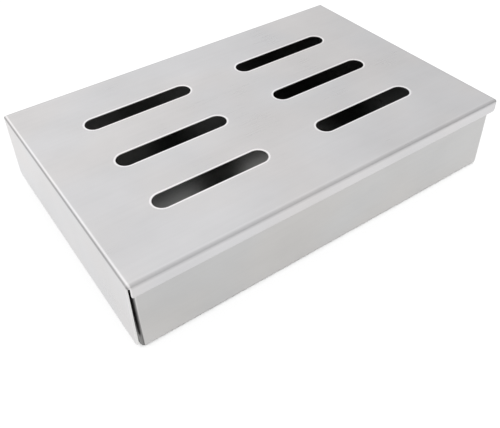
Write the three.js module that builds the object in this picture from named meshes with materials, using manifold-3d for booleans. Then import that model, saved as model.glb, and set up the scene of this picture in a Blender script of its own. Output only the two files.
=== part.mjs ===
// Grill smoker box in stainless sheet: a pressed tray for wood chips and a lid that slides off along it.
// Millimetres, +Z up. The origin is under the middle of the closed box, on the surface that it stands on.
// +X runs along the box, from the lid's closed end with its flap to its open end.
// The lid's long edges are folded into channels, and they wrap round rims that are rolled over on the tray.

import * as THREE from "three";
import { mergeVertices } from "three/addons/utils/BufferGeometryUtils.js";
import Module from "manifold-3d";

const wasm = await Module();
wasm.setup();

// Outside of the closed box
const lidLength = 200;
const lidWidth = 135;
const boxHeight = 40;

// Lid sheet and its folds
const lidSheet = 0.7;
const lidBendRadius = 1.2;
const channelHeight = 7;
const channelWallGap = 0.4;
const channelEndRadius = 2.6;
const flapFloorGap = 4.5;
const flapCornerRadius = 2.4;

// Smoke slots in the lid, in rows and two columns
const slotLength = 57.2;
const slotWidth = 9.5;
const slotColumnPitch = 87;
const slotRowPitch = 33.7;
const slotShift = 0.8;
const slotColumns = 2;
const slotRows = 3;

// Tray sheet, its drawn corners and its draft
const traySheet = 0.7;
const trayCornerRadius = 1.8;
const trayFloorRadius = 1.2;
const trayDraft = 0.7;
const flapClearance = 1;
const trayEndSetback = 0.2;

// Rims rolled over outwards on the tray's long walls
const rimWidth = 1.35;
const rimDrop = 4.4;
const rimBendRadius = 1;
const rimEndSetback = 4;
const rimEndRadius = 1.8;
const rimSideClearance = 0.35;
const rimTopClearance = 0.3;

// How far a cutting solid runs past what it cuts
const overrun = 2;

// Points are put on a fine grid, so that faces made to meet do meet.
const pointGrid = 0.001;

// Steps of the curves
const bendSteps = 3;
const slotSteps = 10;
const cornerSteps = 4;

const lidTop = boxHeight;
const lidUnder = lidTop - lidSheet;
const lidHalfLength = lidLength / 2;
const lidHalfWidth = lidWidth / 2;
const channelFoot = lidTop - channelHeight;

// Where the flap's fold starts in the top sheet, where the side folds start, and how low all of them reach
const flapFoldStart = -lidHalfLength + lidBendRadius;
const sideFoldStart = lidHalfWidth - lidBendRadius;
const foldFoot = lidTop - lidBendRadius;

const trayTop = lidUnder - rimTopClearance;
const trayStart = -lidHalfLength + lidSheet + flapClearance;
const trayEnd = lidHalfLength - trayEndSetback;
const trayLength = trayEnd - trayStart;
const trayMiddle = (trayStart + trayEnd) / 2;
const rimHalfSpan = lidHalfWidth - lidSheet - rimSideClearance;
const trayWidth = 2 * (rimHalfSpan - rimWidth);
const rimRoot = trayTop - rimBendRadius - traySheet;

const quarterTurn = Math.PI / 2;

const lidSteel = new THREE.MeshStandardMaterial({ color: 0xcbcaca, roughness: 0.42, metalness: 1 });
const traySteel = new THREE.MeshStandardMaterial({ color: 0xc3c2c1, roughness: 0.46, metalness: 1 });

// Axes that an extruded outline is turned to: along the box, across it, or upwards
const xAxis = new THREE.Vector3(1, 0, 0);
const yAxis = new THREE.Vector3(0, 1, 0);
const zAxis = new THREE.Vector3(0, 0, 1);
const sectionAlongX = new THREE.Matrix4().makeBasis(yAxis, zAxis, xAxis);
const sectionAcrossY = new THREE.Matrix4().makeBasis(xAxis, zAxis, yAxis.clone().negate());
const planUpZ = new THREE.Matrix4();

// A closed geometry with merged corners becomes a solid that can be joined and cut.
function solidOf(geometry) {
  geometry.deleteAttribute("normal");
  geometry.deleteAttribute("uv");
  const points = geometry.attributes.position;
  points.array.forEach((value, i) => {
    points.array[i] = Math.round(value / pointGrid) * pointGrid;
  });
  const merged = mergeVertices(geometry, pointGrid / 2);
  return new wasm.Manifold(
    new wasm.Mesh({
      numProp: 3,
      vertProperties: new Float32Array(merged.attributes.position.array),
      triVerts: new Uint32Array(merged.index.array),
    })
  );
}

function meshOf(solid, name, material) {
  const result = solid.getMesh();
  const geometry = new THREE.BufferGeometry();
  geometry.setAttribute("position", new THREE.BufferAttribute(result.vertProperties, 3));
  geometry.setIndex(new THREE.BufferAttribute(result.triVerts, 1));
  geometry.computeVertexNormals();
  const mesh = new THREE.Mesh(geometry, material);
  mesh.name = name;
  return mesh;
}

// Extrudes an outline by a depth, turns it to its axes and puts its first face at the given place.
function extruded(shape, depth, axes, place, curveSegments) {
  const geometry = new THREE.ExtrudeGeometry(shape, { depth, bevelEnabled: false, curveSegments });
  geometry.applyMatrix4(axes);
  geometry.translate(place.x, place.y, place.z);
  return solidOf(geometry);
}

const alongBox = (shape, from, to) =>
  extruded(shape, to - from, sectionAlongX, new THREE.Vector3(from, 0, 0), bendSteps);

const acrossBox = (shape, halfWidth) =>
  extruded(shape, 2 * halfWidth, sectionAcrossY, new THREE.Vector3(0, halfWidth, 0), bendSteps);

// Section of a sheet folded square at every corner, always to the same side.
// The corners are those of its outer face, and each fold has one outside radius.
function foldedSection(corners, sheet, bendRadius) {
  const points = corners.map(([across, up]) => new THREE.Vector2(across, up));
  const runs = points.slice(1).map((point, i) => point.clone().sub(points[i]));
  const ways = runs.map((run) => run.clone().normalize());
  const folds = ways.slice(1).map((after, i) => {
    const before = ways[i];
    const inward = after.clone().sub(before);
    const room = Math.min(runs[i].length(), runs[i + 1].length()) / 2;
    const outerRadius = Math.min(bendRadius, room);
    const innerRadius = Math.max(outerRadius - sheet, 0);
    return {
      before,
      after,
      outerRadius,
      innerRadius,
      outerCentre: points[i + 1].clone().addScaledVector(inward, outerRadius),
      innerCentre: points[i + 1].clone().addScaledVector(inward, sheet + innerRadius),
      rightTurn: before.cross(after) < 0,
    };
  });
  const first = folds[0];
  const last = folds[folds.length - 1];
  const firstTurn = points[1].clone().addScaledVector(first.before, -first.outerRadius);
  const shape = new THREE.Shape();
  shape.moveTo(points[0].x, points[0].y);
  shape.lineTo(firstTurn.x, firstTurn.y);
  for (const fold of folds) {
    const from = fold.after.clone().negate().angle();
    const to = fold.before.angle();
    shape.absarc(fold.outerCentre.x, fold.outerCentre.y, fold.outerRadius, from, to, fold.rightTurn);
  }
  const end = points[points.length - 1];
  const endInside = end.clone().addScaledVector(last.before, -sheet);
  shape.lineTo(end.x, end.y);
  shape.lineTo(endInside.x, endInside.y);
  for (const fold of [...folds].reverse()) {
    if (fold.innerRadius > 0) {
      const from = fold.before.angle();
      const to = fold.after.clone().negate().angle();
      shape.absarc(fold.innerCentre.x, fold.innerCentre.y, fold.innerRadius, from, to, !fold.rightTurn);
    } else {
      shape.lineTo(fold.innerCentre.x, fold.innerCentre.y);
    }
  }
  const startInside = points[0].clone().addScaledVector(first.after, sheet);
  shape.lineTo(startInside.x, startInside.y);
  shape.closePath();
  return shape;
}

// What is cut off a strip's lower corner at the end x, to round it. way is 1 at the +X end and -1 at the other.
function lowerCornerWaste(endX, foot, radius, way, halfWidth) {
  const centreX = endX - way * radius;
  const centreZ = foot + radius;
  const sideAngle = way > 0 ? 0 : Math.PI;
  const shape = new THREE.Shape();
  shape.moveTo(endX, centreZ);
  shape.absarc(centreX, centreZ, radius, sideAngle, -quarterTurn, way > 0);
  shape.lineTo(centreX, foot - overrun);
  shape.lineTo(endX + way * overrun, foot - overrun);
  shape.lineTo(endX + way * overrun, centreZ);
  shape.closePath();
  return acrossBox(shape, halfWidth);
}

// Slot outline with half-round ends, along X
function slotOutline(x, y) {
  const radius = slotWidth / 2;
  const straight = slotLength / 2 - radius;
  const shape = new THREE.Shape();
  shape.absarc(x + straight, y, radius, -quarterTurn, quarterTurn, false);
  shape.absarc(x - straight, y, radius, quarterTurn, 3 * quarterTurn, false);
  shape.closePath();
  return shape;
}

function slotCut(x, y) {
  const place = new THREE.Vector3(0, 0, lidUnder - overrun);
  return extruded(slotOutline(x, y), lidSheet + 2 * overrun, planUpZ, place, slotSteps);
}

// Places of a row of copies, spaced by a pitch about the middle
const spread = (count, pitch) => Array.from({ length: count }, (_, i) => (i - (count - 1) / 2) * pitch);

// Top sheet with a channel folded down and under along each long edge.
// The channels start where the flap's fold does and run to the lid's open end.
function channelledTop() {
  const reach = lidHalfWidth - trayWidth / 2 - channelWallGap;
  const section = foldedSection(
    [
      [-lidHalfWidth + reach, channelFoot],
      [-lidHalfWidth, channelFoot],
      [-lidHalfWidth, lidTop],
      [lidHalfWidth, lidTop],
      [lidHalfWidth, channelFoot],
      [lidHalfWidth - reach, channelFoot],
    ],
    lidSheet,
    lidBendRadius
  );
  const top = alongBox(section, flapFoldStart, lidHalfLength);
  return top.subtract(lowerCornerWaste(lidHalfLength, channelFoot, channelEndRadius, 1, lidHalfWidth + overrun));
}

// End of the top sheet with the flap folded down from it, cut to the flap's outline.
// The flap is as wide as the flat of the top sheet between the side folds.
function endFlap() {
  const foot = flapFloorGap;
  const lapEnd = flapFoldStart + lidBendRadius;
  const section = foldedSection(
    [
      [lapEnd, lidTop],
      [-lidHalfLength, lidTop],
      [-lidHalfLength, foot],
    ],
    lidSheet,
    lidBendRadius
  );
  const cornerY = sideFoldStart - flapCornerRadius;
  const cornerZ = foot + flapCornerRadius;
  const outline = new THREE.Shape();
  outline.moveTo(-sideFoldStart, lidTop + overrun);
  outline.lineTo(-sideFoldStart, cornerZ);
  outline.absarc(-cornerY, cornerZ, flapCornerRadius, Math.PI, 3 * quarterTurn, false);
  outline.absarc(cornerY, cornerZ, flapCornerRadius, -quarterTurn, 0, false);
  outline.lineTo(sideFoldStart, lidTop + overrun);
  outline.closePath();
  const trim = alongBox(outline, -lidHalfLength - overrun, lapEnd + overrun);
  return acrossBox(section, lidHalfWidth).intersect(trim);
}

// Round corner at the back where the flap's fold runs into the side fold.
// The metal gathers there, so it is full inside. Below it the seam between flap and channel starts.
function foldCorner() {
  const turnSteps = 8 * bendSteps;
  const ball = new THREE.SphereGeometry(lidBendRadius, turnSteps, turnSteps / 2);
  ball.rotateX(quarterTurn);
  ball.translate(flapFoldStart, sideFoldStart, foldFoot);
  const reach = 2 * lidBendRadius;
  const zone = new THREE.BoxGeometry(reach, reach, reach);
  zone.translate(flapFoldStart - reach / 2, sideFoldStart + reach / 2, foldFoot + reach / 2);
  return solidOf(ball).intersect(solidOf(zone));
}

function slidingLid() {
  const backCorner = foldCorner();
  let lid = channelledTop()
    .add(endFlap())
    .add(backCorner)
    .add(backCorner.mirror([0, 1, 0]));
  for (const x of spread(slotColumns, slotColumnPitch)) {
    for (const y of spread(slotRows, slotRowPitch)) {
      lid = lid.subtract(slotCut(x + slotShift, y));
    }
  }
  return meshOf(lid, "sliding_lid", lidSteel);
}

// One level of the tray: a rectangle with rounded corners, drawn in from the tray's outside at the rim
function trayRing(inset, cornerRadius) {
  const halfLength = trayLength / 2 - inset;
  const halfWidth = trayWidth / 2 - inset;
  const radius = Math.max(Math.min(cornerRadius, halfLength, halfWidth), 0);
  const x = halfLength - radius;
  const y = halfWidth - radius;
  const shape = new THREE.Shape();
  shape.absarc(x, y, radius, 0, quarterTurn, false);
  shape.absarc(-x, y, radius, quarterTurn, 2 * quarterTurn, false);
  shape.absarc(-x, -y, radius, 2 * quarterTurn, 3 * quarterTurn, false);
  shape.absarc(x, -y, radius, 3 * quarterTurn, 4 * quarterTurn, false);
  return shape.extractPoints(cornerSteps).shape;
}

// Lofts a solid through rings that have the same number of points, and closes both ends.
function lofted(levels) {
  const count = levels[0].ring.length;
  const positions = levels.flatMap(({ ring, z }) => ring.flatMap((point) => [point.x, point.y, z]));
  const index = [];
  for (let level = 0; level < levels.length - 1; level += 1) {
    for (let i = 0; i < count; i += 1) {
      const a = level * count + i;
      const b = level * count + ((i + 1) % count);
      index.push(a, b, b + count, a, b + count, a + count);
    }
  }
  const cap = THREE.ShapeUtils.triangulateShape(levels[0].ring, []);
  const topStart = (levels.length - 1) * count;
  for (const [a, b, c] of cap) {
    index.push(a, c, b);
    index.push(topStart + a, topStart + b, topStart + c);
  }
  const geometry = new THREE.BufferGeometry();
  geometry.setAttribute("position", new THREE.Float32BufferAttribute(positions, 3));
  geometry.setIndex(index);
  geometry.translate(trayMiddle, 0, 0);
  return solidOf(geometry);
}

// Body of the tray, shrunk by an offset: a floor edge rounded up into walls that lean out to the rim's root,
// and stand straight above it
function trayBody(offset, height) {
  const floorRadius = Math.max(trayFloorRadius - offset, traySheet / 2);
  const cornerRadius = Math.max(trayCornerRadius - offset, traySheet / 2);
  const lean = (z) => trayDraft * (1 - z / rimRoot);
  const arc = Array.from({ length: cornerSteps + 1 }, (_, i) => (quarterTurn * i) / cornerSteps);
  const floorLevels = arc.map((angle) => {
    const z = offset + floorRadius * (1 - Math.cos(angle));
    const inset = offset + lean(z) + floorRadius * (1 - Math.sin(angle));
    return { ring: trayRing(inset, cornerRadius), z };
  });
  const wallRing = trayRing(offset, cornerRadius);
  return lofted([...floorLevels, { ring: wallRing, z: rimRoot }, { ring: wallRing, z: height }]);
}

// Rim along the back wall: the wall's top is rolled outwards and down.
// Its root stands in the straight top of the wall.
function rim() {
  const wallInside = trayWidth / 2 - traySheet;
  const section = foldedSection(
    [
      [wallInside, rimRoot],
      [wallInside, trayTop],
      [rimHalfSpan, trayTop],
      [rimHalfSpan, trayTop - rimDrop],
    ],
    traySheet,
    rimBendRadius
  );
  const start = trayStart + rimEndSetback;
  const end = trayEnd - rimEndSetback;
  const foot = trayTop - rimDrop;
  return alongBox(section, start, end)
    .subtract(lowerCornerWaste(start, foot, rimEndRadius, -1, lidHalfWidth))
    .subtract(lowerCornerWaste(end, foot, rimEndRadius, 1, lidHalfWidth));
}

// The stretch of the back wall that the rim's roll takes the place of
function rimNotch() {
  const length = trayLength - 2 * rimEndSetback;
  const depth = traySheet + rimWidth + overrun;
  const height = rimBendRadius + overrun;
  const geometry = new THREE.BoxGeometry(length, depth, height);
  const wallInside = trayWidth / 2 - traySheet;
  geometry.translate(trayMiddle, wallInside - overrun + depth / 2, trayTop - rimBendRadius + height / 2);
  return solidOf(geometry);
}

function chipTray() {
  const shell = trayBody(0, trayTop).subtract(trayBody(traySheet, trayTop + overrun));
  const backRim = rim();
  const backNotch = rimNotch();
  const tray = shell
    .subtract(backNotch)
    .subtract(backNotch.mirror([0, 1, 0]))
    .add(backRim)
    .add(backRim.mirror([0, 1, 0]));
  return meshOf(tray, "chip_tray", traySteel);
}

const smokerBox = new THREE.Group();
smokerBox.add(chipTray(), slidingLid());

export default smokerBox;
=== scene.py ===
# %% [markdown]
# # A smoker box in brushed stainless sheet
#
# The real object is two pieces of thin stainless steel. A pressed tray holds wood chips, and a lid with six slots
# slides over it along rims that are rolled out of the tray's long walls. This lesson builds the fine surfaces of
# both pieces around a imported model, which already holds their true size, their joint and their collision shapes.
#
# Every length is in metres. +X runs along the box from the lid's end flap to its open end, and +Z is up.

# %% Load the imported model
import math

import bpy
import numpy as np
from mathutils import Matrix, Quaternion, Vector


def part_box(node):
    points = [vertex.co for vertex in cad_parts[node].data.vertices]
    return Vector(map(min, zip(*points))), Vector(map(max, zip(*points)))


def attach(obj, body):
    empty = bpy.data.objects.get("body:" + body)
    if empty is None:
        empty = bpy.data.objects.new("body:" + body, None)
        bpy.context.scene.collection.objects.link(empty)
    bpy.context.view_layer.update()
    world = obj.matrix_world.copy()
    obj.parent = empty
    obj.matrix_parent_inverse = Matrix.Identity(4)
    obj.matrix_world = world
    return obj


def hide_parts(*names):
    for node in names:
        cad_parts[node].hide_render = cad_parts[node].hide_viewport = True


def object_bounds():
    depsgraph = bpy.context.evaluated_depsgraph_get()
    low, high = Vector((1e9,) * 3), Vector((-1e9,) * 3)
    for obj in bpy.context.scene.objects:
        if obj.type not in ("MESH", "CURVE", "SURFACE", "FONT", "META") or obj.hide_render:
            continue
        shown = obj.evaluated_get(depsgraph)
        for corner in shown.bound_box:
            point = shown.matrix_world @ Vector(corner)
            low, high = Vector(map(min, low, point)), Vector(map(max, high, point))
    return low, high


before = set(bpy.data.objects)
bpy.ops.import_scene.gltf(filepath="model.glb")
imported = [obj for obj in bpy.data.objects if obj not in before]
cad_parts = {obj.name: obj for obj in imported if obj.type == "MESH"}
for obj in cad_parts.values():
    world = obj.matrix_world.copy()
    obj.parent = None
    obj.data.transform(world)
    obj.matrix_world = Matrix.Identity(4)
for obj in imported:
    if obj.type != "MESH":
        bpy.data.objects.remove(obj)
cad_low, cad_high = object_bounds()
lid_low, lid_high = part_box("sliding_lid")
tray_low, tray_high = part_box("chip_tray")
print("box of the model, mm:", [round(1000 * side, 1) for side in cad_high - cad_low])

# %% [markdown]
# ## The camera
#
# A product photograph is easiest to match when the camera is set by its focal length in pixels, the two angles it
# looks from and the point it looks at. These could be found by hand, but a least-squares fit of the lid's corners
# and slots to their places in the picture gives them at once, and its result is written here as plain values.
# The picture's level line lies above its middle, which a lens shift gives without tilting the camera.

# %% Camera
picture_width = 500
picture_height = 428
focal_pixels = 663.4
level_row = 150
sensor_width = 36
nearest_seen = 0.01
view_turn = math.radians(-33.58)
view_rise = math.radians(37.75)
view_roll = math.radians(2.065)
view_distance = 0.3299
view_target = Vector((-0.0046, -0.00625, (cad_low.z + cad_high.z) / 2))


def add_object(name, data):
    """An object in the scene that shows the data."""
    made = bpy.data.objects.new(name, data)
    bpy.context.scene.collection.objects.link(made)
    return made


def add_camera():
    """Camera on a sphere round its target: turn is the angle about Z from the -Y side, rise is the height angle."""
    back = Vector((
        math.sin(view_turn) * math.cos(view_rise),
        -math.cos(view_turn) * math.cos(view_rise),
        math.sin(view_rise),
    ))
    lens = bpy.data.cameras.new("camera")
    lens.sensor_width = sensor_width
    lens.lens = sensor_width * focal_pixels / picture_width
    lens.shift_y = (level_row - picture_height / 2) / picture_width
    lens.clip_start = nearest_seen
    camera = add_object("camera", lens)
    camera.location = view_target + back * view_distance
    camera.rotation_mode = "QUATERNION"
    camera.rotation_quaternion = (-back).to_track_quat("-Z", "Y") @ Quaternion((0, 0, 1), -view_roll)
    bpy.context.scene.camera = camera
    return camera


camera = add_camera()
print("lens, mm:", round(camera.data.lens, 1), "shift:", round(camera.data.shift_y, 3))

# %% [markdown]
# ## Surfaces as grids
#
# Sheet metal is one surface with a constant thickness, so each piece is described by one face of the sheet only.
# That face could be modelled by hand, but then its folds are only as true as the hand. Here it is cut into patches,
# and a patch is a grid of points worked out from two parameters, so a fold is exact and one number changes it.
#
# Beside its place, every point carries its place on the flat blank, before the sheet was folded. Brushed steel is
# brushed while it is flat, so a grain drawn on the blank turns down over the folds as it does on the real box.

# %% Patches
class Sheet:
    """One face of a folded sheet, as patches of points."""

    def __init__(self):
        self.points, self.blanks, self.rims, self.quads = [], [], [], []
        self.count = 0

    def add(self, x, y, z, along, across, facing, rim=1.0, keep=None):
        """Adds a grid of points. along and across give the place on the flat blank, and rim the distance to the
        nearest punched edge, or a metre where there is none. facing is a direction that the first cell's face looks
        towards, and keep tells which cells of the grid are metal."""
        x, y, z, along, across, rim = np.broadcast_arrays(x, y, z, along, across, rim)
        rows, columns = x.shape
        points = np.stack([x, y, z], axis=-1).reshape(-1, 3)
        first = (np.arange(rows - 1)[:, None] * columns + np.arange(columns - 1)).ravel()
        quads = np.stack([first, first + 1, first + columns + 1, first + columns], axis=1)
        if keep is not None:
            quads = quads[keep.ravel()]
        corner = points[quads[0]]
        if np.dot(np.cross(corner[2] - corner[0], corner[3] - corner[1]), facing) < 0:
            quads = quads[:, ::-1]
        self.points.append(points)
        self.blanks.append(np.stack([along, across], axis=-1).reshape(-1, 2))
        self.rims.append(rim.ravel())
        self.quads.append(quads + self.count)
        self.count += len(points)
        print("patch of", rows, "by", columns, "points,", len(quads), "cells")


# %% [markdown]
# ## From patches to a mesh
#
# Patches that touch use the same lines along their shared edge, so each seam has two copies of the same points.
# Blender can merge them by distance, one piece at a time. Here all places are rounded to a thousandth of a
# millimetre and one point of each kind is kept, which numpy does for the whole sheet at once.
#
# The place on the blank is kept for each corner of a face and not for each point, as a UV map, because a point on
# a seam can have two places on the blank.

# %% Welding
weld_distance = 1e-6


def welded(face, name):
    """A mesh of a sheet's face, with the blank as a UV map and the distance to a punched edge as an attribute.
    A cell with a side of no length, as at the pole of a ball, becomes a triangle."""
    points, blanks, rims, quads = map(np.concatenate, (face.points, face.blanks, face.rims, face.quads))
    corners = quads.ravel()
    rounded = np.round(points[corners] / weld_distance).astype(int)
    _, kept, welds = np.unique(rounded, axis=0, return_index=True, return_inverse=True)
    cells = welds.reshape(-1, 4)
    real = cells != np.roll(cells, 1, axis=1)
    faces = [cell[own].tolist() for cell, own in zip(cells, real)]
    blanks = blanks[corners[real.ravel()]]
    mesh = bpy.data.meshes.new(name)
    mesh.from_pydata(points[corners][kept].tolist(), [], faces)
    mesh.uv_layers.new(name="blank").data.foreach_set("uv", blanks.astype(np.float32).ravel())
    mesh.attributes.new("rim", "FLOAT", "POINT").data.foreach_set("value", rims[corners][kept].astype(np.float32))
    assert not mesh.validate(), "a face of the sheet is broken"
    mesh.shade_smooth()
    print(name, "welded:", len(corners), "corners on", len(kept), "points")
    return mesh


# %% [markdown]
# ## The lid
#
# The real lid is one blank. Its long edges are folded down and under into channels that wrap round the tray's
# rims, and its end is folded down into a flap that closes the box. Where the flap's fold meets a side fold, the
# sheet is drawn round into a small closed corner. The seam between the flap and the channel starts below that
# corner and stays open.
#
# The lid could be a box with its edges bevelled, but a bevel knows nothing of sheet: the fold's inner radius, the
# channels' undersides and the open seams would all be missing. Patches that follow the fold lines give them.

# %% Lid sizes
fold_cells = 8
fold_radius = 0.0012
top_height = lid_high.z
top_start = lid_low.x + fold_radius
top_end = lid_high.x
top_half_width = lid_high.y - fold_radius
print("flat of the lid, mm:", round(1000 * (top_end - top_start), 1), "by", round(2000 * top_half_width, 1))

# %% [markdown]
# ## Slots
#
# The slots are punched. A punch drags the sheet down a little before it shears it, so the upper edge of every slot
# is rolled over and not sharp, and that soft edge is what draws the bright outline round a slot in a photograph.
#
# Each slot sits in a rectangular window of the flat's grid. The window is filled by rings that start on the slot's
# outline, follow it at growing distances and then open out into the rectangle, so no face is cut and the grid
# around stays regular. A Boolean would be quicker to write, but it leaves long slivers that shade badly.

# %% Slot outline
slot_half_length = 0.0286
slot_radius = 0.00475
slot_columns = [-0.0427, 0.0443]
slot_rows = [-0.0337, 0.0, 0.0337]
slot_straight = slot_half_length - slot_radius
window_half_length = 0.032
window_half_width = 0.008
print("slots, mm:", round(2000 * slot_half_length, 1), "by", round(2000 * slot_radius, 1))


def edge_loop(grid):
    """The border of a grid of points as one closed loop, from its first corner along its first row."""
    return np.concatenate([grid[0], grid[1:-1, -1], grid[-1, ::-1], grid[::-1, 0][1:]])


def slot_outline(window, middle):
    """The slot's point and its outward direction for each point of its window's edge.

    Beside the straight sides a point keeps its x. Past them the edge is read as an angle of the half circle:
    0 on the slot's axis, 45 degrees at the window's corner and 90 at the end of the straight side.
    """
    x, y = (window - middle).T
    past = np.maximum(np.abs(x) - slot_straight, 0)
    on_end = np.abs(x) > window_half_length - weld_distance
    share = np.where(on_end, np.abs(y) / window_half_width, 2 - past / (window_half_length - slot_straight))
    angle = share * math.pi / 4
    outward = np.stack([
        np.where(past > 0, np.sign(x) * np.cos(angle), 0),
        np.where(past > 0, np.sign(y) * np.sin(angle), np.sign(y)),
    ], axis=1)
    middle_line = np.stack([np.clip(x, -slot_straight, slot_straight), np.zeros_like(x)], axis=1)
    return middle + middle_line + slot_radius * outward, outward


# %% [markdown]
# ## Rolled edges
#
# The roll is a tenth of a millimetre deep. It could be a bump in the material, but a bump gives no outline and no
# true highlight. So the rings nearest the slot are set close together, and they dip by a small parabola.

# %% Slot rings
roll_width = 0.0005
roll_depth = 0.0001
ring_distances = np.array([0.0, 0.00014, 0.0003, 0.0005, 0.0008, 0.0012])
ring_shares = np.array([0.3, 0.6, 1.0])


def add_slot(face, x_lines, y_lines, middle):
    """Rings from the slot's outline to its window. Near the outline the sheet dips, by the roll's depth times the
    square of the share of the roll's width that is left."""
    window = edge_loop(np.stack(np.meshgrid(x_lines, y_lines), axis=-1))
    outline, outward = slot_outline(window, middle)
    near = outline + ring_distances[:, None, None] * outward
    far = near[-1] + ring_shares[:, None, None] * (window - near[-1])
    rings = np.concatenate([near, far])
    distance = np.concatenate([ring_distances, ring_distances[-1] + window_half_width * ring_shares])[:, None]
    dip = roll_depth * np.clip(1 - distance / roll_width, 0, 1) ** 2
    x, y = rings[..., 0], rings[..., 1]
    face.add(x, y, top_height - dip, x, y, (0, 0, 1), distance)


# %% [markdown]
# ## The flat
#
# The flat is a plain grid with windows left out for the slots. Its lines are places along X and Y: every window's
# own lines, and a few between them. A narrow row of cells along the edges keeps the folds' shading off the flat,
# as a support loop does in a model that is made by hand.

# %% The lid's flat
seam_support = 0.0004
between_cells_x = 12
between_cells_y = 10
window_end_cells = 8
window_side_cells = 24


def stations(start, *stops):
    """Places along a line. Each stop is (place, cells): the stretch up to that place is cut into equal cells."""
    places = [np.array([start])]
    for place, cells in stops:
        places.append(np.linspace(places[-1][-1], place, cells + 1)[1:])
    return np.concatenate(places)


def lid_lines():
    """The grid lines of the flat along X and along Y, with every window's lines among them."""
    x_stops = [stop for middle in slot_columns for stop in (
        (middle - window_half_length, between_cells_x), (middle - slot_straight, window_end_cells),
        (middle + slot_straight, window_side_cells), (middle + window_half_length, window_end_cells),
    )]
    y_stops = [stop for middle in slot_rows for stop in (
        (middle - window_half_width, between_cells_y), (middle + window_half_width, 2 * window_end_cells),
    )]
    x_lines = stations(
        top_start, (top_start + seam_support, 1), *x_stops, (top_end - seam_support, between_cells_x), (top_end, 1),
    )
    y_lines = stations(
        -top_half_width, (seam_support - top_half_width, 1), *y_stops,
        (top_half_width - seam_support, between_cells_y), (top_half_width, 1),
    )
    return x_lines, y_lines


def inside(lines, middle, half):
    """Which lines lie within half of the middle, its edges included."""
    return np.abs(lines - middle) < half + weld_distance


def add_flat(face, x_lines, y_lines):
    """The flat and its six windows, each filled by a slot's rings."""
    keep = np.ones((len(y_lines) - 1, len(x_lines) - 1), bool)
    for slot_x in slot_columns:
        for slot_y in slot_rows:
            in_x = inside(x_lines, slot_x, window_half_length)
            in_y = inside(y_lines, slot_y, window_half_width)
            keep &= ~((in_y[1:] & in_y[:-1])[:, None] & (in_x[1:] & in_x[:-1]))
            add_slot(face, x_lines[in_x], y_lines[in_y], np.array([slot_x, slot_y]))
    x, y = np.meshgrid(x_lines, y_lines)
    face.add(x, y, top_height, x, y, (0, 0, 1), keep=keep)


lid_face = Sheet()
lid_x, lid_y = lid_lines()
add_flat(lid_face, lid_x, lid_y)
print("lines of the flat:", len(lid_x), "by", len(lid_y))

# %% [markdown]
# ## Folds
#
# A fold is a quarter circle between two straight runs. A Bevel modifier can round a sharp edge in the same way, but
# it doesn't tell how much sheet the fold takes up. As a path the fold is exact, and the distance along it is the
# place on the blank, so the blank unrolls without stretching.

# %% Folded paths
def quarter_turn(cells):
    """Angles from 0 to 90 degrees in equal steps."""
    return np.linspace(0, math.pi / 2, cells + 1)


def stretch(start, end, cells):
    """The points after start on the straight line to end, one for each cell."""
    shares = np.linspace(0, 1, cells + 1)[1:, None]
    return start + (end - start) * shares


def folded_path(points, radii, flat_cells, turn_cells):
    """A path of straight runs, each turned square into the next by a quarter circle at their corner.

    At an angle t the quarter circle is at corner + r (after - before) + r (before sin t - after cos t), where
    before and after are the unit directions of the two runs. Gives the places and their distance along the path.
    """
    points = np.array(points, float)
    runs = np.diff(points, axis=0)
    ways = runs / np.linalg.norm(runs, axis=1)[:, None]
    angles = quarter_turn(turn_cells)[:, None]
    path = [points[:1]]
    for i, radius in enumerate(radii):
        before, after, corner = ways[i], ways[i + 1], points[i + 1]
        arc = corner + radius * (after - before) + radius * (before * np.sin(angles) - after * np.cos(angles))
        path.append(stretch(path[-1][-1], arc[0], flat_cells[i]))
        path.append(arc[1:])
    path.append(stretch(path[-1][-1], points[-1], flat_cells[-1]))
    path = np.concatenate(path)
    return path, np.append(0, np.cumsum(np.linalg.norm(np.diff(path, axis=0), axis=1)))


# %% [markdown]
# ## The flap
#
# The flap is the lid's end, folded down over the tray's end wall. Its two lower corners are cut round, so that they
# don't catch a hand. The round corners could be cut out of a straight flap, which needs a Boolean. Here each row of
# points is as long as the flap is wide at its height: near the foot the rows are drawn in along a quarter circle.

# %% Flap
flap_foot = lid_low.z
flap_corner_radius = 0.0024
flap_corner_cells = 8
flap_cells = [0, 16]
corner_reach = 0.006


def drawn_in(height, radius):
    """How far a round corner draws a strip's end in, at a height above its foot: the radius less the half chord."""
    below = np.clip(radius - height, 0, radius)
    return radius - np.sqrt(radius ** 2 - below ** 2)


def with_round_ends(places, low, high):
    """Draws a strip's two ends in by low and high, and fades this to nothing at the corner reach from each end."""
    from_low = np.clip(1 - (places - places.min()) / corner_reach, 0, 1)
    from_high = np.clip(1 - (places.max() - places) / corner_reach, 0, 1)
    return places + low * from_low - high * from_high


def add_flap(face, y_lines):
    """The end flap: a quarter circle down from the flat, then straight to its foot, with both corners rounded."""
    corner_top = flap_foot + flap_corner_radius
    runs = [(top_start, top_height), (lid_low.x, top_height), (lid_low.x, corner_top)]
    path, length = folded_path(runs, [fold_radius], flap_cells, fold_cells)
    drop = flap_corner_radius * np.sin(quarter_turn(flap_corner_cells)[1:, None])
    path = np.concatenate([path, np.hstack([np.full_like(drop, lid_low.x), corner_top - drop])])
    length = np.concatenate([length[:, None], length[-1] + drop])
    ends = drawn_in(path[:, 1:] - flap_foot, flap_corner_radius)
    y = with_round_ends(y_lines[None, :], ends, ends)
    face.add(path[:, :1], y, path[:, 1:], top_start - length, y, (-1, 0, 1))
    print("the flap takes up, mm:", round(1000 * length[-1, 0], 1))


add_flap(lid_face, lid_y)

# %% [markdown]
# ## The channels
#
# Each long edge is folded down by 7 mm and turned in by 2 mm, which makes the channel that runs on the tray's rim.
# Its lower corners are rounded too, a little more at the open end. The profile could be a curve with a bevel
# object, but the corners would stay square. As a path carried along the flat's own lines, its first row of points
# is the flat's edge, and each end is drawn in like the flap's corners.

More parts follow.
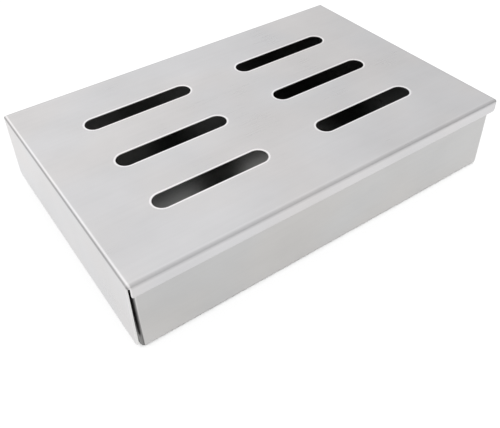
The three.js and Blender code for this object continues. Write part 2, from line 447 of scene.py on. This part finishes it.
# %% Channels
channel_depth = 0.007
channel_return = 0.002
channel_fold_radius = 0.001
channel_start_radius = 0.0018
channel_end_radius = 0.0026
channel_cells = [0, 10, 2]
channel_foot = top_height - channel_depth
channel_path, channel_length = folded_path(
    [(top_half_width, top_height), (lid_high.y, top_height), (lid_high.y, channel_foot),
     (lid_high.y - channel_return, channel_foot)],
    [fold_radius, channel_fold_radius], channel_cells, fold_cells,
)
print("each channel takes up, mm:", round(1000 * channel_length[-1], 1))


def add_channel(face, x_lines, side):
    """One channel: down from the flat's edge and back under, with its lower corners rounded at both ends."""
    out, z = channel_path[:, :1], channel_path[:, 1:]
    at_start = drawn_in(z - channel_foot, channel_start_radius)
    at_end = drawn_in(z - channel_foot, channel_end_radius)
    x = with_round_ends(x_lines[None, :], at_start, at_end)
    face.add(x, side * out, z, x, side * (top_half_width + channel_length[:, None]), (0, side, 1))


# %% [markdown]
# ## The closed corners
#
# Where the flap's fold runs into a side fold, the metal is drawn round into an eighth of a ball. It has the folds'
# own radius and steps, so its edges are the ends of both folds, and welding closes it. Left out, it would be a
# hole, and one face put into the hole would be flat where the real corner is round.

# %% Fold corners
def add_fold_corner(face, side):
    """An eighth of a ball. Its rows go down from the pole and its columns turn from the flap's fold to the
    channel's. On the blank it is a quarter of a disc, with the distance from the pole as its radius."""
    down, turn = quarter_turn(fold_cells)[:, None], quarter_turn(fold_cells)[None, :]
    x = top_start - fold_radius * np.sin(down) * np.cos(turn)
    y = top_half_width + fold_radius * np.sin(down) * np.sin(turn)
    z = top_height - fold_radius * (1 - np.cos(down))
    along = top_start - fold_radius * down * np.cos(turn)
    across = top_half_width + fold_radius * down * np.sin(turn)
    face.add(x, side * y, z, along, side * across, (-1, side, 1))


for side in (-1, 1):
    add_channel(lid_face, lid_x, side)
    add_fold_corner(lid_face, side)
print("patches of the lid:", len(lid_face.quads))

# %% [markdown]
# ## Finishes as arithmetic
#
# A finish is arithmetic on a few patterns. It could be wired up in the shader editor, where it can be seen at a
# glance, but there the sums are hidden in the names of nodes. So a small class wraps a socket and gives it Python's
# operators: an expression on it adds the Math nodes that work it out.

# %% Wires
class Wire:
    """A number, colour or vector that a node gives out. Arithmetic on it adds Math nodes."""

    def __init__(self, finish, socket):
        self.finish, self.socket = finish, socket

    def maths(self, operation, *values):
        """A Math node with this operation on the values."""
        return self.finish.node("ShaderNodeMath", {"operation": operation}, dict(enumerate(values)))

    def __add__(self, other):
        return self.maths("ADD", self, other)

    def __radd__(self, other):
        return self.maths("ADD", other, self)

    def __sub__(self, other):
        return self.maths("SUBTRACT", self, other)

    def __rsub__(self, other):
        return self.maths("SUBTRACT", other, self)

    def __mul__(self, other):
        return self.maths("MULTIPLY", self, other)

    def __rmul__(self, other):
        return self.maths("MULTIPLY", other, self)

    def __abs__(self):
        return self.maths("ABSOLUTE", self)

    def output(self, name):
        """Another output of the same node."""
        return Wire(self.finish, self.socket.node.outputs[name])

    def axes(self):
        """The x, y and z of a vector."""
        x = self.finish.node("ShaderNodeSeparateXYZ", None, {0: self})
        return x, x.output("Y"), x.output("Z")

    def ramp(self, start, end):
        """0 up to start and 1 from end on, with a smooth step between them. start may be the larger one."""
        return self.finish.node("ShaderNodeMapRange", {"interpolation_type": "SMOOTHSTEP"}, {
            "Value": self, "From Min": min(start, end), "From Max": max(start, end),
            "To Min": float(start > end), "To Max": float(start < end),
        })

    def near(self, place, width):
        """1 at a place, falling smoothly to 0 at width from it on both sides."""
        return abs(self - place).ramp(width, 0)


# %% [markdown]
# ## One way to add a node
#
# Every node is added in the same way: its kind, its settings, and then the values or links of its sockets. This
# could be written out node by node, three lines each. One method for all of them keeps a finish short enough to
# be read as a recipe. The noise is counted from 0, so that a pattern can add to a value or take from it.

# %% Nodes
noise_middle = 0.5


class Finish:
    """The nodes of a material or a world."""

    def __init__(self, owner):
        owner.use_nodes = True
        self.owner, self.tree = owner, owner.node_tree
        self.tree.nodes.clear()

    def node(self, kind, settings=None, values=None, out=0):
        """Adds a node: its settings first, then the values or links of its sockets. Gives one of its outputs."""
        made = self.tree.nodes.new(kind)
        for name, value in (settings or {}).items():
            setattr(made, name, value)
        for name, value in (values or {}).items():
            if isinstance(value, Wire):
                self.tree.links.new(value.socket, made.inputs[name])
            else:
                made.inputs[name].default_value = value
        return Wire(self, made.outputs[out]) if made.outputs else None

    def blank(self):
        """The place on the flat blank: x along the box and y across it."""
        return self.node("ShaderNodeUVMap", {"uv_map": "blank"})

    def place(self):
        """The place in space."""
        return self.node("ShaderNodeTexCoord").output("Object")

    def noise(self, vector, lengths, detail, roughness=0.5):
        """Noise about 0 with features of the given lengths, one for each axis of the vector."""
        shares = tuple(1 / length for length in lengths)
        counted = self.node("ShaderNodeVectorMath", {"operation": "MULTIPLY"}, {0: vector, 1: shares})
        return self.node("ShaderNodeTexNoise", {"noise_dimensions": "3D"}, {
            "Vector": counted, "Scale": 1.0, "Detail": detail, "Roughness": roughness,
        }) - noise_middle

    def mixed(self, factor, first, second):
        """A colour between two colours. On a Mix node the colours are inputs 6 and 7 and output 2."""
        return self.node("ShaderNodeMix", {"data_type": "RGBA"}, {0: factor, 6: first, 7: second}, out=2)

    def lit(self, colour, brightness):
        """The colour times a number."""
        return self.node("ShaderNodeVectorMath", {"operation": "SCALE"}, {0: colour, "Scale": brightness})

    def surface(self, shader):
        """Ends a material's nodes with its shader."""
        self.node("ShaderNodeOutputMaterial", None, {"Surface": shader})
        print(self.owner.name, "nodes:", len(self.tree.nodes))
        return self.owner


# %% [markdown]
# ## Brushed stainless steel
#
# The box is made of sheet with a fine brushed face. Close by, the brushing is a pattern of scratches much longer
# than they are wide. From a step away they melt into a soft sheen, and what shows instead is a faint cloudiness,
# part warm and part cool, where the sheet was brushed a little harder or has been handled.
#
# An image of brushed steel could be laid over the piece, but it repeats and it blurs close by. Three scales of
# noise give the same at any size: scratches, bands of scratches and clouds. The first two are drawn on the blank,
# so they follow the sheet over its folds. Each changes the colour, the roughness or the height together, because
# on real metal they are one thing seen in several ways.

# %% Steel
scratch_size = (0.03, 0.00025, 1.0)
band_size = (0.07, 0.0022, 1.0)
cloud_size = (0.035, 0.028, 0.03)
tint_size = (0.05, 0.04, 0.04)
scratch_change = 0.08
band_change = 0.05
cloud_change = 0.2
cloud_haze = 0.1
tint_warmth = 0.008
tint_edge = 0.15
grain_strength = 0.15
grain_height = 0.00003


def shade(colour, warmth):
    """A grey made warmer, or cooler with a negative warmth, at about the same brightness."""
    red, green, blue = colour
    return (red * (1 + warmth), green, blue * (1 - warmth), 1.0)


def steel(name, colour, roughness, painted_light=None, grain=1.0):
    """Brushed steel. The optional function paints a piece's own light and shade into the colour, as painted
    highlights and painted shade, and may change the roughness: it gives the factor on the brightness and the change
    of the roughness."""
    finish = Finish(bpy.data.materials.new(name))
    blank, place = finish.blank(), finish.place()
    scratches = finish.noise(blank, scratch_size, detail=3.0, roughness=0.7)
    bands = finish.noise(blank, band_size, detail=2.0)
    clouds = finish.noise(place, cloud_size, detail=3.0)
    tints = finish.noise(place, tint_size, detail=1.0)
    brightness = 1 + scratches * (scratch_change * grain) + bands * (band_change * grain) + clouds * cloud_change
    rough = roughness + scratches * (scratch_change * grain) + clouds * cloud_haze
    if painted_light:
        factor, change = painted_light(finish)
        brightness = brightness * factor
        rough = rough + change
    warm, cool = shade(colour, tint_warmth), shade(colour, -tint_warmth)
    tinted = finish.mixed(tints.ramp(-tint_edge, tint_edge), warm, cool)
    bump = finish.node("ShaderNodeBump", None, {
        "Strength": grain_strength * grain, "Distance": grain_height, "Height": scratches + bands,
    })
    shader = finish.node("ShaderNodeBsdfPrincipled", None, {
        "Base Color": finish.lit(tinted, brightness), "Metallic": 1.0, "Roughness": rough, "Normal": bump,
    })
    return finish.surface(shader)


# %% [markdown]
# ## From a face to a piece
#
# The sheet is taken to be 0.7 mm thick, as such boxes usually have it, and deburring has broken its cut edges. The
# other side could be modelled too, but a Solidify modifier gives it at a constant distance, on the side away from
# the face's normals, and a small Bevel breaks the edges.
#
# Solidify also numbers its faces: the given face keeps the first material, the other side takes the second and the
# cut edges take the third. So both sides of the sheet and its bare edge have finishes of their own, and a darker
# colour on the side that faces into the box is painted shade.

# %% Pieces
sheet = 0.0007
edge_break = 0.00009
edge_break_cells = 2
edge_angle = math.radians(50)


def add_piece(name, face, materials, node, body):
    """A piece of sheet from its face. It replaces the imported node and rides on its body."""
    piece = add_object(name, welded(face, name))
    for material in materials:
        piece.data.materials.append(material)
    solid = piece.modifiers.new("thickness", "SOLIDIFY")
    solid.thickness = sheet
    solid.offset = -1
    solid.material_offset = 1
    solid.material_offset_rim = 2
    bevel = piece.modifiers.new("broken edges", "BEVEL")
    bevel.width = edge_break
    bevel.segments = edge_break_cells
    bevel.limit_method = "ANGLE"
    bevel.angle_limit = edge_angle
    bevel.use_clamp_overlap = False
    piece.modifiers.new("flat faces", "WEIGHTED_NORMAL")
    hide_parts(node)
    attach(piece, body)
    finished = piece.evaluated_get(bpy.context.evaluated_depsgraph_get())
    print(name, "faces:", len(piece.data.polygons), "with thickness:", len(finished.data.polygons))


# %% [markdown]
# ## The lid's finish
#
# The steel's folds and edges mirror the studio as light and dark lines, and these are painted into the colour. Each
# fold gets a painted dark reflection along it and a painted highlight on the bend beside it, the flap's sides and
# each slot's rolled edge get a painted highlight, and the last millimetre at the cut open end gets painted shade.
# The punch also leaves a polished, less rough edge round each slot. Such marks could be painted into an image, but
# each of them lies at a known place on the blank. So a mark is a line there with a half width, and a table holds its
# change of brightness, which is easy to tune.

# %% Lid finish
fold_length = fold_radius * math.pi / 2

# Painted light along the folds and the cut end. Each mark is (middle, half width, change of brightness).
end_painted_light = [
    (top_start - 0.60 * fold_length, 0.0010, -0.32),
    (top_start - 0.05 * fold_length, 0.0008, 0.38),
    (top_end, 0.0009, -0.22),
]
side_painted_light = [
    (top_half_width + 0.55 * fold_length, 0.0021, -0.24),
    (top_half_width - 0.0007, 0.0010, 0.05),
]
# Painted highlight on the flap's sides just below its fold.
flap_painted_highlight = 0.12
flap_painted_highlight_top = top_start - fold_length
flap_painted_highlight_full = top_start - 0.004
flap_painted_highlight_width = 0.002
# Painted highlight round each slot's rolled edge, which slot_polish also makes less rough.
slot_painted_highlight = 0.42
slot_painted_highlight_fade = (0.0012, 0.0007)
slot_polish = -0.1


def marked(line, marks):
    """The sum of the marks across a line, each full at its middle and fading to both sides."""
    return sum(line.near(middle, width) * change for middle, width, change in marks)


def lid_painted_light(finish):
    """Painted dark reflections and highlights along the folds, painted shade at the cut end, painted highlights on
    the slots' edges and the flap's sides, and less rough slot edges.
    """
    along, across, _ = finish.blank().axes()
    across = abs(across)
    rolled = finish.node("ShaderNodeAttribute", {"attribute_name": "rim"}, out="Fac").ramp(*slot_painted_highlight_fade)
    flap_side = across.ramp(top_half_width - flap_painted_highlight_width, top_half_width)
    on_flap = along.ramp(flap_painted_highlight_top, flap_painted_highlight_full) * flap_side
    lines = marked(along, end_painted_light) + marked(across, side_painted_light)
    return 1 + lines + on_flap * flap_painted_highlight + rolled * slot_painted_highlight, rolled * slot_polish


lid_steel = steel("lid_brushed_steel", colour=(0.642, 0.633, 0.638), roughness=0.3, painted_light=lid_painted_light)
# The lid's underside gets a very dark colour as painted shade, where it faces into the box.
underside_shaded_steel = steel("lid_underside_painted_shade_steel", colour=(0.13, 0.13, 0.128), roughness=0.32, grain=0.8)
cut_steel = steel("cut_edge_steel", colour=(0.72, 0.72, 0.715), roughness=0.34, grain=0.6)
add_piece("lid_shell", lid_face, [lid_steel, underside_shaded_steel, cut_steel], "sliding_lid", "lid")

# %% [markdown]
# ## The tray
#
# The tray is pressed from one sheet, so its corners and the edge of its floor are round and closed, and its walls
# lean out a little to let it off the tool. Its two long walls end in rims, rolled outwards and down, that the lid's
# channels run on. Small notches let the rolls start without tearing the wall.
#
# A cube with its top removed and its edges bevelled comes close, but its rims would be a second mesh. Here the face
# is the tray's inside, from the floor up the walls and over into the rims, so it is one sheet like the real one.

# %% Tray sizes
tray_corner_radius = 0.0018
tray_floor_radius = 0.0012
tray_draft = 0.0007
rim_width = 0.00135
rim_fold_radius = 0.001
rim_setback = 0.004
rim_notch = 0.0006
tray_top = tray_high.z
tray_middle = (tray_low.x + tray_high.x) / 2
tray_half = np.array([(tray_high.x - tray_low.x) / 2, tray_high.y - rim_width])
rim_half_length = tray_half[0] - rim_setback
rim_root = tray_top - rim_fold_radius - sheet
roll_start = tray_top - rim_fold_radius
inner_corner_radius = tray_corner_radius - sheet
inner_floor_radius = tray_floor_radius - sheet
straight_half = tray_half - sheet - inner_corner_radius
print("tray inside, mm:", [round(2000 * (half - sheet), 1) for half in tray_half])

# %% [markdown]
# ## The tray's plan
#
# Every level of the tray is the same loop, a rectangle with round corners, and the floor is the same formula filled
# in. A point is its share of the straight sides plus the corner's radius times a direction, and that direction
# grows from nothing to the circle as the corner is approached. A face with many corners would fill the floor more
# quickly, but it shades badly, and it has no lines for the walls to start from.

# %% Plan of the tray
corner_cells = 5
long_cells = 48
short_cells = 32


def side_lines(straight):
    """Grid lines of one side as (share of the straight half, share of the corner), mirrored about the middle.
    straight holds the lines of the straight half as shares of it, from 0 to 1."""
    corner = np.linspace(0, 1, corner_cells + 1)[1:]
    share = np.concatenate([straight, np.ones(corner_cells)])
    turn = np.concatenate([np.zeros(len(straight)), corner])
    return np.concatenate([-share[:0:-1], share]), np.concatenate([-turn[:0:-1], turn])


def plan_grid():
    """Shares and directions of the tray's plan. Across a corner's block of cells a and b go from 0 to 1. The
    direction's size is the larger of the two, and its angle goes from the x axis to the y axis with b / a."""
    long_half = stations(0, (rim_half_length, long_cells), (rim_half_length + rim_notch, 1), (straight_half[0], 1))
    share_x, turn_x = side_lines(long_half / straight_half[0])
    share_y, turn_y = side_lines(np.linspace(0, 1, short_cells + 1))
    share = np.stack(np.meshgrid(share_x, share_y), axis=-1)
    a, b = np.meshgrid(turn_x, turn_y)
    size = np.maximum(np.abs(a), np.abs(b))
    safe = np.where(size > 0, size, 1)
    wide, tall = np.abs(a) / safe, np.abs(b) / safe
    angle = np.where(wide >= tall, tall, 2 - wide) * math.pi / 4
    direction = np.stack([np.sign(a) * np.cos(angle), np.sign(b) * np.sin(angle)], axis=-1) * size[..., None]
    return share, direction


def plan(share, direction, half):
    """Points of the plan for given half sizes: share (half - radius) + radius direction."""
    return share * (half - inner_corner_radius) + inner_corner_radius * direction


plan_share, plan_direction = plan_grid()
print("lines of the plan:", plan_share.shape[1], "by", plan_share.shape[0])

# %% [markdown]
# ## Floor and walls
#
# The wall is the plan's loop carried up a profile: a quarter circle at the floor's edge, then a wall that leans out
# to the root of the rims and stands straight above it. Extruding the loop step by step in Blender gives the same
# shape, but every step would have to be scaled by hand. The profile sets the loop's size at each height at once.

# %% Floor and walls
wall_cells = 14


def inner_half(height):
    """Half sizes of the inside at a height: the walls lean out to the root of the rims and stand straight above."""
    lean = tray_draft * np.clip(1 - height / rim_root, 0, 1)
    return tray_half - sheet - lean


def add_floor_and_walls(face, share, direction):
    """The floor, and the loop round it carried up a quarter circle and a leaning wall. Gives the loop at the top of
    the wall, its place on the blank and its directions."""
    flat = plan(share, direction, inner_half(np.array([[sheet]])) - inner_floor_radius)
    face.add(tray_middle + flat[..., 0], flat[..., 1], sheet, flat[..., 0], flat[..., 1], (0, 0, 1))
    angles = quarter_turn(fold_cells)
    wall = stations(sheet + inner_floor_radius, (rim_root, wall_cells), (roll_start, 1))[1:]
    height = np.concatenate([sheet + inner_floor_radius * (1 - np.cos(angles)), wall])[:, None, None]
    closing = np.concatenate([inner_floor_radius * (1 - np.sin(angles)), np.zeros(len(wall))])[:, None, None]
    length = np.concatenate([inner_floor_radius * angles, inner_floor_radius * math.pi / 2 + wall - wall[0]])
    loop_share, loop_direction = edge_loop(share), edge_loop(direction)
    levels = plan(loop_share, loop_direction, inner_half(height) - closing)
    blank = levels[0] + loop_direction * length[:, None, None]
    z = np.broadcast_to(height[..., 0], levels.shape[:2])
    face.add(tray_middle + levels[..., 0], levels[..., 1], z, blank[..., 0], blank[..., 1], (0, 1, 1))
    return levels[-1], blank[-1], loop_direction


tray_face = Sheet()
wall_loop, wall_blank, wall_direction = add_floor_and_walls(tray_face, plan_share, plan_direction)
print("points round the wall:", len(wall_loop))

# %% [markdown]
# ## Plain edges and rims
#
# The short walls end in a plain cut edge. Each long wall is rolled over and down between its two notches, and the
# roll's lower corners are rounded like the channel's. The rims could be a second piece laid against the wall, but
# then the wall would be twice as thick there. They are paths carried along the wall's own points instead, and the
# notch is what no patch covers.

# %% Upper edge and rims
edge_cells = 2
rim_drop = 0.0044
rim_end_radius = 0.0018
rim_cells = [0, 1, 8]
rim_fold_cells = 4


def add_plain_top(face, loop, blank, direction):
    """The walls' plain upper edge: the ends, their corners and the long walls as far as the rims' notches."""
    rise = np.linspace(0, tray_top - roll_start, edge_cells + 1)[:, None]
    plain = np.abs(loop[:, 0]) > rim_half_length + rim_notch - weld_distance
    keep = np.repeat((plain[1:] & plain[:-1])[None, :], edge_cells, axis=0)
    along, across = (blank[:, axis] + direction[:, axis] * rise for axis in (0, 1))
    face.add(tray_middle + loop[:, 0], loop[:, 1], roll_start + rise, along, across, (1, 0, 0), keep=keep)


def add_rim(face, loop, blank, side):
    """One rim: over and down from the long wall, with its lower corners rounded at both ends."""
    wall_side = np.sign(loop[:, 1]) == side
    on_rim = wall_side & (np.abs(loop[:, 0]) < rim_half_length + weld_distance)
    x, start = loop[on_rim, 0], np.abs(blank[on_rim, 1])
    wall = tray_half[1] - sheet
    foot = tray_top - rim_drop
    path, length = folded_path(
        [(wall, roll_start), (wall, tray_top), (tray_high.y, tray_top), (tray_high.y, foot)],
        [rim_fold_radius, rim_fold_radius], rim_cells, rim_fold_cells,
    )
    out, z = path[:, :1], path[:, 1:]
    ends = drawn_in(z - foot, rim_end_radius)
    along = with_round_ends(x[None, :], ends, ends)
    face.add(tray_middle + along, side * out, z, along, side * (start + length[:, None]), (0, -side, 0))
    print("a rim takes up, mm:", round(1000 * length[-1], 1), "over a length of", round(1000 * np.ptp(x), 1))


add_plain_top(tray_face, wall_loop, wall_blank, wall_direction)
for side in (1, -1):
    add_rim(tray_face, wall_loop, wall_blank, side)

# %% [markdown]
# ## The tray's finish
#
# Inside, the steel's colour is darker than outside as painted shade, and more painted shade darkens the walls and
# the floor near them, so only the middle of the floor stays lighter. Outside, painted shade darkens the foot where
# the tray meets the floor, which is also a little rougher, and painted highlights brighten the upright corners. The
# two corners behind the flap get painted shade, darkest towards the foot, which shows beside the flap.
#
# These marks follow the shape in space and not the blank, so they are smooth steps on the Object coordinates. Steps
# from one place to another are quicker to tune than a painted mask, and they move with the tray's sizes.

# %% Tray finish
# Painted shade inside: darker towards the walls, lighter in the middle of the floor.
inside_painted_shade = 0.6
inside_unshaded_x = (0.08, 0.03)
inside_unshaded_y = (0.055, 0.012)
# Painted highlights on the upright corners.
corner_painted_highlight = 0.3
corner_painted_highlight_x = tray_half[0] - np.array([0.0022, 0.0012])
corner_painted_highlight_y = tray_half[1] - np.array([0.0028, 0.0018])
# Painted shade along the foot where the tray meets the floor; foot_haze makes the foot rougher.
foot_painted_shade = 0.3
foot_shade_fade = (0.0014, 0.0003)
foot_haze = 0.06
foot_haze_height = 0.002
# Painted shade on the corners behind the flap, darker towards the foot.
seam_painted_shade = 0.82
seam_foot_painted_shade = 0.12
seam_foot_shade_fade = (0.012, 0.006)
seam_depth = (0.0014, 0.0010)
seam_width = tray_half[1] - np.array([0.007, 0.003])


def inside_painted_light(finish):
    """Painted shade: lighter in the middle of the floor and darker towards the walls."""
    along, across, _ = finish.place().axes()
    middle = abs(along).ramp(*inside_unshaded_x) * abs(across).ramp(*inside_unshaded_y)
    return inside_painted_shade + middle * (1 - inside_painted_shade), 0.0


def tray_painted_light(finish):
    """Painted shade along the foot, which is also a little rougher, painted highlights on the upright corners, and
    painted shade on the corners behind the flap. from_end is the depth behind the leaning end wall."""
    along, across, height = finish.place().axes()
    across = abs(across)
    corners = abs(along - tray_middle).ramp(*corner_painted_highlight_x) * across.ramp(*corner_painted_highlight_y)
    from_end = along + height * (tray_draft / tray_top) - (tray_low.x + tray_draft)
    seam = from_end.ramp(*seam_depth) * across.ramp(*seam_width)
    seam_dark = seam * (seam_painted_shade + height.ramp(*seam_foot_shade_fade) * seam_foot_painted_shade)
    foot_dark = height.ramp(*foot_shade_fade) * foot_painted_shade * (1 - seam)
    return 1 - (foot_dark + seam_dark) + corners * corner_painted_highlight, height.ramp(foot_haze_height, 0.0) * foot_haze


tray_steel = steel("tray_brushed_steel", colour=(0.545, 0.54, 0.535), roughness=0.36, painted_light=tray_painted_light)
# The inside's darker colour is painted shade.
inside_shaded_steel = steel("tray_inside_painted_shade_steel", colour=(0.46, 0.46, 0.455), roughness=0.3, painted_light=inside_painted_light, grain=0.8)
add_piece("tray_shell", tray_face, [inside_shaded_steel, tray_steel, cut_steel], "chip_tray", "tray")

# %% [markdown]
# ## The floor
#
# The photograph was taken on a white sweep, and its floor is as white as its background. A bright plain floor would
# do that too, but then the shadow under the box is lost. So most of the floor's white shines by itself for the rays
# that end in the picture, and the rest is lit paper that takes the shadow. Under the tray nothing shines, so the
# narrow gap below its round edge stays dark.

# %% Floor
floor_half = 2.0
floor_gap = 0.0001
floor_glow = 0.85
glow_fade = 0.0015
paper = (0.9, 0.9, 0.9, 1)
white = (1, 1, 1, 1)


def seen(finish):
    """1 for rays that end in the picture, straight or by way of metal or glass."""
    path = finish.node("ShaderNodeLightPath")
    mirrored = path.maths("MAXIMUM", path.output("Is Glossy Ray"), path.output("Is Transmission Ray"))
    return path.maths("MAXIMUM", path.output("Is Camera Ray"), mirrored)


def add_floor():
    """A white floor of lit paper and its own glow. beside grows from 0 to 1 over the tray's outline."""
    mesh = bpy.data.meshes.new("floor")
    corners = [(-1, -1), (1, -1), (1, 1), (-1, 1)]
    height = cad_low.z - floor_gap
    mesh.from_pydata([(floor_half * x, floor_half * y, height) for x, y in corners], [], [(0, 1, 2, 3)])
    floor = add_object("floor", mesh)
    finish = Finish(bpy.data.materials.new("white_sweep"))
    lit_paper = finish.node("ShaderNodeBsdfDiffuse", None, {"Color": paper})
    glow = finish.node("ShaderNodeEmission", None, {"Color": white, "Strength": 1.0})
    along, across, _ = finish.place().axes()
    past_end = abs(along - tray_middle) - tray_half[0]
    past_side = abs(across) - tray_half[1]
    beside = past_end.maths("MAXIMUM", past_end, past_side).ramp(-glow_fade, glow_fade)
    mix = finish.node("ShaderNodeMixShader", None, {0: seen(finish) * beside * floor_glow, 1: lit_paper, 2: glow})
    mesh.materials.append(finish.surface(mix))


add_floor()

# %% [markdown]
# ## The light
#
# Steel is mostly what it mirrors. The studio's large soft lights were white nearly everywhere, with a gap between
# the floor sweep and the lights, so the steel mirrors white from above and a soft grey from low down. A room of
# lamps and screens could be built for this, but each would need its place. A sky that changes with height, and a
# little from side to side, is one expression and holds for every view.
#
# Three kinds of rays see three skies: the camera sees plain white, the steel mirrors the gradient, and everything
# else gets an even light that sets the tone of the floor's paper. One weak soft lamp behind the box gives the
# edges there a direction.

# %% Sky and lamp
plain_light = 1.8
horizon_light = 0.6
sky_light = 0.985
sky_full_height = 0.45
side_shade = 0.14
side_shade_edge = (0.35, 0.7)


def light_world():
    """A sky for each kind of ray. Heights and sides are those of the ray's direction, from -1 to 1."""
    sky = Finish(bpy.data.worlds.new("studio"))
    bpy.context.scene.world = sky.owner
    along, _, up = sky.node("ShaderNodeTexCoord").output("Generated").axes()
    above = up.ramp(0.0, sky_full_height) * (sky_light - horizon_light)
    mirrored = horizon_light + above - along.ramp(*side_shade_edge) * side_shade
    straight = sky.node("ShaderNodeLightPath").output("Is Camera Ray")
    shown = mirrored + straight * (1 - mirrored)
    strength = plain_light + seen(sky) * (shown - plain_light)
    back = sky.node("ShaderNodeBackground", None, {"Color": white, "Strength": strength})
    sky.node("ShaderNodeOutputWorld", None, {"Surface": back})
    print("nodes of the sky:", len(sky.tree.nodes))


def add_lamp(name, place, size, power):
    """A square soft lamp that faces the box."""
    light = bpy.data.lights.new(name, "AREA")
    light.shape = "SQUARE"
    light.size = size
    light.energy = power
    lamp = add_object(name, light)
    lamp.location = place
    lamp.rotation_mode = "QUATERNION"
    lamp.rotation_quaternion = (Vector(place) - view_target).to_track_quat("Z", "Y")
    print(name, "is this far from the box, m:", round((Vector(place) - view_target).length, 2))


light_world()
add_lamp("back box", place=(-0.1, 0.78, 0.5), size=0.5, power=0.05)
bpy.context.scene.view_settings.view_transform = "Standard"
